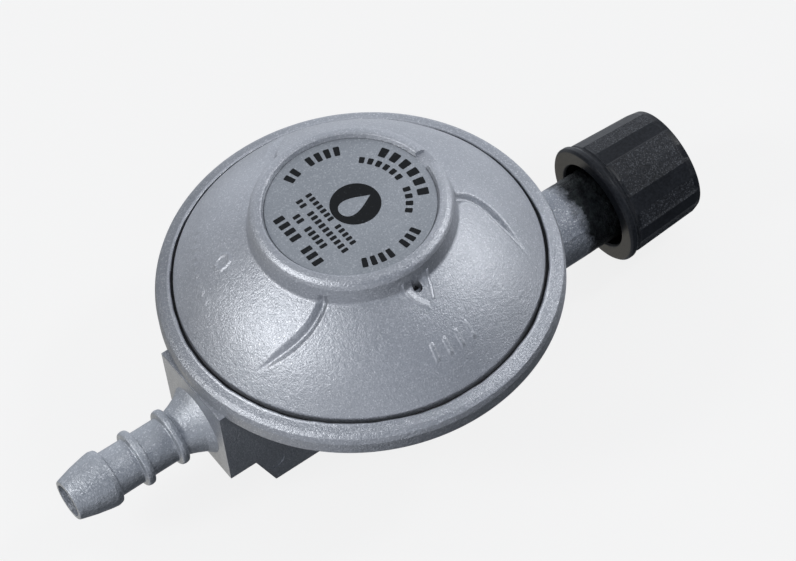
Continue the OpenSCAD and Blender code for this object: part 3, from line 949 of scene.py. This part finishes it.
def wheel_drop(phi):
    """How far the grip lies below its sharp edges: each facet is two flats that lean inwards to a ridge."""
    share = ((np.degrees(phi) - FACET_START_DEG) / FACET_DEG) % 1.0
    from_middle = np.abs(share - 0.5) * FACET_DEG
    off_centre = np.abs(from_middle - FLAT_DEG / 2)
    flat = 1 - math.cos(math.radians(FLAT_DEG / 2)) / np.cos(np.radians(off_centre))
    ridge = smooth_step(0.93, 1.0, share)
    return FLAT_SCALE * flat + LEAN * share - RIDGE_RISE * ridge


def is_grained(phi):
    """True on the grained flats, which mirror about one direction and its opposite."""
    away = abs((math.degrees(phi) - GRAIN_MIRROR_DEG + 90) % 180 - 90)
    return int(away // FLAT_DEG) % 2 == 0


def make_wheel():
    outer = rounded_path([
        (9.75, 58.75, 0.2), (10.1, 58.3, 0.3), (13.1, 58.3, 0.45), (13.6, 58.8, 0.45), (13.6, 59.8, 0.4),
        (13.1, 60.3, 0.25), (12.75, 60.75, 0.3), (13.2, 61.2, 0.15), (12.4, 76.6, 1.4), (11.9, 78.2, 0.9),
        (11.1, 78.2, 0.2), (11.05, 77.9, 0)], closed=False, arc_steps=6)
    outer = resampled(outer, 0.6)
    inner = [(11.05, 64.0), (8.65, 64.0), (8.65, 62.85), (9.75, 62.85)]
    columns = 720
    radius, station, phi = grid(outer + inner, columns)
    on_grip = smooth_step(61.0, 61.3, station) * smooth_step(78.15, 77.0, station) * (radius > 11.3)
    radius = radius - wheel_drop(phi) * on_grip
    points = about_x(radius, station, phi, INLET_Z).reshape(-1, 3)
    rows = len(outer) + len(inner)
    wheel = mesh_from("grip", points, loop_faces(rows, columns), 30)
    paint(wheel, PLASTIC)
    wheel.data.materials.append(PLASTIC_GRAIN)
    wheel.data.materials.append(PLASTIC_INNER)
    for face in wheel.data.polygons:
        x = face.center.x / MM
        y = face.center.y / MM
        z = face.center.z / MM - INLET_Z
        out = math.hypot(y, z)
        # painted shade: the bore and the mouth get the darker copy of the plastic
        if out < WHEEL_BORE_R or (out < WHEEL_MOUTH_R and x > WHEEL_REAR_X):
            face.material_index = 2
        elif GRAIN_X[0] < x < GRAIN_X[1] and is_grained(math.atan2(z, y)):
            face.material_index = 1
    return wheel


def make_nut_insert():
    """Brass nut with a left-hand thread, 14 turns to the inch."""
    pitch, crest_r, root_r = 25.4 / 14, 9.2, 10.0
    thread = []
    steps = 96
    start_x, end_x = 70.85, 77.9
    for k in range(steps + 1):
        thread.append((crest_r, end_x + (start_x - end_x) * k / steps))
    profile = [(6.25, 64.05), (10.98, 64.05), (10.98, 77.9), (10.0, 78.0)]
    profile += thread + [(9.7, start_x - 0.05), (9.7, 66.6), (6.25, 66.6)]
    columns = 144
    radius, station, phi = grid(profile, columns)
    first = 4
    rows = slice(first, first + steps + 1)
    phase = ((station[rows] / pitch + phi[rows] / (2 * math.pi)) % 1.0)
    tooth = np.clip(1.25 - np.abs(phase - 0.5) * 3.6, 0, 1)
    radius[rows] = root_r - (root_r - crest_r) * tooth
    points = about_x(radius, station, phi, INLET_Z).reshape(-1, 3)
    nut = mesh_from("threaded_insert", points, loop_faces(len(profile), columns), 34)
    return paint(nut, BRASS)


# ---------------------------------------------------------------- stage, light and camera

# What rests on the floor: the block's lower edge and the hand nut's flange
BLOCK_EDGE_X = -31.6
WHEEL_FLANGE_X = 58.8
WHEEL_FLANGE_R = 13.6
FLOOR_GAP = 0.02
FLOOR_R_M = 3.8
BACKDROP_R_M = 4.0
LIGHT_DISTANCE_M = 1.1
LIGHT_AIM_M = (0, 0, 0.035)


def make_stage():
    """A pale floor that touches the block's lower edge and the hand nut."""
    slope = math.atan2(INLET_Z - WHEEL_FLANGE_R, WHEEL_FLANGE_X - BLOCK_EDGE_X)
    material = bpy.data.materials.new("floor_pale")
    material.use_nodes = True
    tree = material.node_tree
    tree.nodes.clear()
    output = tree.nodes.new("ShaderNodeOutputMaterial")
    glow = tree.nodes.new("ShaderNodeEmission")
    glow.inputs["Color"].default_value = (1.0, 1.0, 1.0, 1.0)
    glow.inputs["Strength"].default_value = 0.84
    matt = tree.nodes.new("ShaderNodeBsdfDiffuse")
    matt.inputs["Color"].default_value = (0.07, 0.07, 0.07, 1.0)
    both = tree.nodes.new("ShaderNodeAddShader")
    tree.links.new(glow.outputs["Emission"], both.inputs[0])
    tree.links.new(matt.outputs["BSDF"], both.inputs[1])
    tree.links.new(both.outputs["Shader"], output.inputs["Surface"])
    bpy.ops.mesh.primitive_circle_add(vertices=96, radius=FLOOR_R_M, fill_type="NGON")
    floor = bpy.context.object
    floor.name = "floor"
    floor.rotation_euler = (0, -slope, 0)
    floor.location = (BLOCK_EDGE_X * MM, 0, -FLOOR_GAP * MM)
    floor.data.materials.append(material)
    floor.visible_diffuse = False
    floor.visible_glossy = False
    return floor


def add_area(name, direction, size, power):
    """A round light that shines on the object from that direction."""
    light = bpy.data.lights.new(name, "AREA")
    light.shape = "DISK"
    light.size = size
    light.energy = power
    obj = bpy.data.objects.new(name, light)
    bpy.context.scene.collection.objects.link(obj)
    centre = Vector(LIGHT_AIM_M)
    obj.location = centre + Vector(direction).normalized() * LIGHT_DISTANCE_M
    obj.rotation_mode = "QUATERNION"
    obj.rotation_quaternion = (centre - obj.location).to_track_quat("-Z", "Y")
    obj.visible_camera = False
    return obj


def facing(tree, vector, direction, low, high):
    """0 to 1 as a direction of view turns towards the given one; low and high are cosines."""
    dot = tree.nodes.new("ShaderNodeVectorMath")
    dot.operation = "DOT_PRODUCT"
    tree.links.new(vector, dot.inputs[0])
    dot.inputs[1].default_value = Vector(direction).normalized()
    node = tree.nodes.new("ShaderNodeMapRange")
    node.interpolation_type = "SMOOTHSTEP"
    node.inputs["From Min"].default_value = low
    node.inputs["From Max"].default_value = high
    tree.links.new(dot.outputs["Value"], node.inputs["Value"])
    return node.outputs["Result"]


def make_world():
    """A soft surround: bright at the far side and low in front, darker in the other named directions."""
    world = bpy.data.worlds.new("studio")
    bpy.context.scene.world = world
    world.use_nodes = True
    tree = world.node_tree
    background = tree.nodes["Background"]
    coords = tree.nodes.new("ShaderNodeTexCoord")
    vector = coords.outputs["Generated"]
    far = facing(tree, vector, (0.45, 0.87, -0.22), 0.05, 1.0)
    near = facing(tree, vector, (0.0, -0.8, 0.6), 0.4, 1.0)
    near_low = facing(tree, vector, (-0.3, -0.93, 0.05), 0.8, 1.0)
    below = facing(tree, vector, (0.36, -0.54, -0.76), 0.5, 0.86)
    far_low = facing(tree, vector, (0.0, 0.62, -0.78), 0.75, 1.0)
    left_low = facing(tree, vector, (-0.42, 0.45, -0.79), 0.85, 1.0)
    left_far = facing(tree, vector, (-0.74, 0.64, 0.2), 0.7, 1.0)
    color = blend_colors(tree, far, (0.55, 0.575, 0.63), (0.92, 0.96, 1.04))
    color = blend_colors(tree, near, color, (0.27, 0.30, 0.36))
    color = blend_colors(tree, near_low, color, (0.85, 0.88, 0.95))
    color = blend_colors(tree, left_far, color, (0.28, 0.29, 0.31))
    color = blend_colors(tree, far_low, color, (0.16, 0.17, 0.18))
    color = blend_colors(tree, left_low, color, (0.72, 0.69, 0.62))
    color = blend_colors(tree, below, color, (0.045, 0.05, 0.056))
    tree.links.new(color, background.inputs["Color"])
    background.inputs["Strength"].default_value = 1.0


def make_backdrop():
    """A pale surround that only the camera sees."""
    material = bpy.data.materials.new("backdrop_pale")
    material.use_nodes = True
    tree = material.node_tree
    tree.nodes.clear()
    output = tree.nodes.new("ShaderNodeOutputMaterial")
    glow = tree.nodes.new("ShaderNodeEmission")
    glow.inputs["Color"].default_value = (0.887, 0.887, 0.887, 1.0)
    tree.links.new(glow.outputs["Emission"], output.inputs["Surface"])
    bpy.ops.mesh.primitive_uv_sphere_add(segments=48, ring_count=24, radius=BACKDROP_R_M)
    backdrop = bpy.context.object
    backdrop.name = "backdrop"
    backdrop.data.materials.append(material)
    backdrop.visible_diffuse = False
    backdrop.visible_glossy = False
    backdrop.visible_transmission = False
    backdrop.visible_shadow = False


def make_camera():
    """The camera that a fit of the object's circles and corners gave."""
    focal_px, width_px, sensor_mm = 3200.0, 796.0, 36.0
    distance = 637.0
    azimuth = math.radians(30.49)
    elevation = math.radians(53.07)
    roll = math.radians(-6.82)
    target = Vector((4.24, -7.45, RIM_Z))
    forward = Vector((math.sin(azimuth) * math.cos(elevation), math.cos(azimuth) * math.cos(elevation),
                      -math.sin(elevation)))
    right = Vector((math.cos(azimuth), -math.sin(azimuth), 0))
    up = right.cross(forward)
    right_rolled = right * math.cos(roll) + up * math.sin(roll)
    up_rolled = up * math.cos(roll) - right * math.sin(roll)
    data = bpy.data.cameras.new("camera")
    data.sensor_width = sensor_mm
    data.lens = focal_px / width_px * sensor_mm
    data.clip_start, data.clip_end = 0.01, 50.0
    camera = bpy.data.objects.new("camera", data)
    bpy.context.scene.collection.objects.link(camera)
    turn = Matrix((right_rolled, up_rolled, -forward)).transposed()
    camera.matrix_world = Matrix.Translation((target - forward * distance) * MM) @ turn.to_4x4()
    bpy.context.scene.camera = camera


def make_lights():
    add_area("key_left", (-0.76, 0.15, 0.62), 0.30, 5.0)
    add_area("fill_left", (-0.75, -0.5, 0.45), 0.45, 0.5)
    add_area("key_right", (0.69, -0.18, 0.70), 0.20, 2.5)
    add_area("fill_right", (0.90, -0.38, 0.20), 0.5, 0.8)


make_camera()
make_world()
make_lights()
make_backdrop()
make_stage()
paint_carried_nodes()

PIECES = [
    (make_body(), "housing", "cast_alloy", ["body_casting"]),
    (make_cover(), "housing", "cast_alloy", ["cover_casting"]),
    (make_disc(), "housing", "cast_alloy", ["seal_disc"]),
    (make_print(), "housing", "black_plastic", []),
    (make_wheel(), "hand_nut", "black_plastic", ["handwheel"]),
    (make_nut_insert(), "hand_nut", "brass", ["nut_insert"]),
]
for piece, body, slot, replaced in PIECES:
    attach(piece, body)
    if replaced:
        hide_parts(*replaced)

bpy.context.scene.view_settings.view_transform = "Standard"
